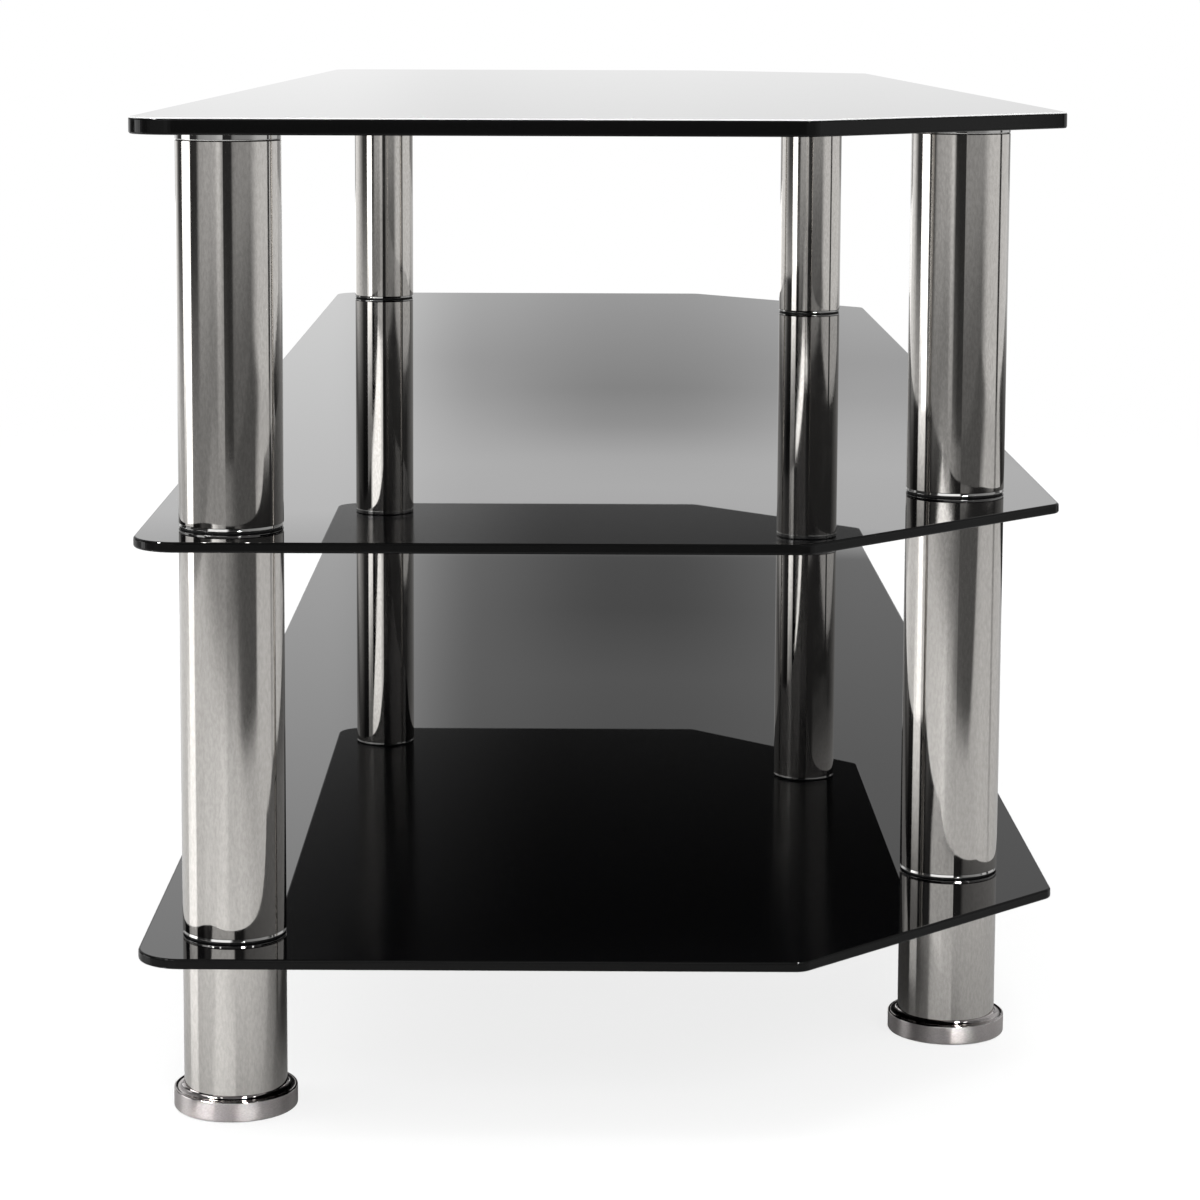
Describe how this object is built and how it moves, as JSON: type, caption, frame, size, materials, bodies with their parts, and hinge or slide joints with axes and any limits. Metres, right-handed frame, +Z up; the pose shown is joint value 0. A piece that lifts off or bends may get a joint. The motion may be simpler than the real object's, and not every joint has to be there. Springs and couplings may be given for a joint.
{
  "type": "glass tv stand",
  "caption": "Low television stand: black glass shelves with angled rear corners, clamped between round steel tube legs that stand on screw-in levelling feet.",
  "frame": {"origin": "on the floor, below the middle of the shelves", "axes": "+X along the width, towards the stand's right end seen from the front; +Y towards the back; +Z up"},
  "size_m": [1.4, 0.45, 0.48],
  "materials": {
    "black_glass": "black tempered glass, polished faces and edges",
    "brushed_tube": "bright steel, finely brushed round the tube",
    "polished_ring": "polished die-cast metal",
    "threaded_steel": "zinc plated",
    "clear_nylon": "natural nylon",
    "black_gasket": "soft black plastic",
    "satin_foot": "turned steel, nickel plated, slightly satin",
    "foot_pad": "matt"
  },
  "bodies": {
    "stand": {"top_glass": "black_glass", "middle_glass": "black_glass", "bottom_glass": "black_glass", "upper_tube_front_left": "brushed_tube", "upper_tube_front_right": "brushed_tube", "upper_tube_rear_left": "brushed_tube", "upper_tube_rear_right": "brushed_tube", "middle_tube_front_left": "brushed_tube", "middle_tube_front_right": "brushed_tube", "middle_tube_rear_left": "brushed_tube", "middle_tube_rear_right": "brushed_tube", "lower_tube_front_left": "brushed_tube", "lower_tube_front_right": "brushed_tube", "lower_tube_rear_left": "brushed_tube", "lower_tube_rear_right": "brushed_tube", "bonded_discs": "polished_ring", "bonded_disc_studs": "threaded_steel", "upper_tube_top_plugs": "polished_ring", "upper_tube_bottom_plugs": "polished_ring", "middle_tube_top_plugs": "polished_ring", "middle_tube_bottom_plugs": "polished_ring", "lower_tube_top_plugs": "polished_ring", "lower_tube_foot_plugs": "polished_ring", "middle_shelf_studs": "threaded_steel", "bottom_shelf_studs": "threaded_steel", "middle_shelf_bushes": "clear_nylon", "bottom_shelf_bushes": "clear_nylon", "middle_shelf_upper_gaskets": "black_gasket", "middle_shelf_lower_gaskets": "black_gasket", "bottom_shelf_upper_gaskets": "black_gasket", "bottom_shelf_lower_gaskets": "black_gasket"},
    "levelling_foot_front_left": {"foot_front_left": "satin_foot", "foot_stem_front_left": "threaded_steel", "foot_pad_front_left": "foot_pad"},
    "levelling_foot_front_right": {"foot_front_right": "satin_foot", "foot_stem_front_right": "threaded_steel", "foot_pad_front_right": "foot_pad"},
    "levelling_foot_rear_left": {"foot_rear_left": "satin_foot", "foot_stem_rear_left": "threaded_steel", "foot_pad_rear_left": "foot_pad"},
    "levelling_foot_rear_right": {"foot_rear_right": "satin_foot", "foot_stem_rear_right": "threaded_steel", "foot_pad_rear_right": "foot_pad"}
  },
  "joints": [
    {"name": "foot_height_front_left", "type": "slide", "parent": "stand", "child": "levelling_foot_front_left", "axis": [0, 0, -1], "range_m": [0, 0.008]},
    {"name": "foot_height_front_right", "type": "slide", "parent": "stand", "child": "levelling_foot_front_right", "axis": [0, 0, -1], "range_m": [0, 0.008]},
    {"name": "foot_height_rear_left", "type": "slide", "parent": "stand", "child": "levelling_foot_rear_left", "axis": [0, 0, -1], "range_m": [0, 0.008]},
    {"name": "foot_height_rear_right", "type": "slide", "parent": "stand", "child": "levelling_foot_rear_right", "axis": [0, 0, -1], "range_m": [0, 0.008]}
  ]
}
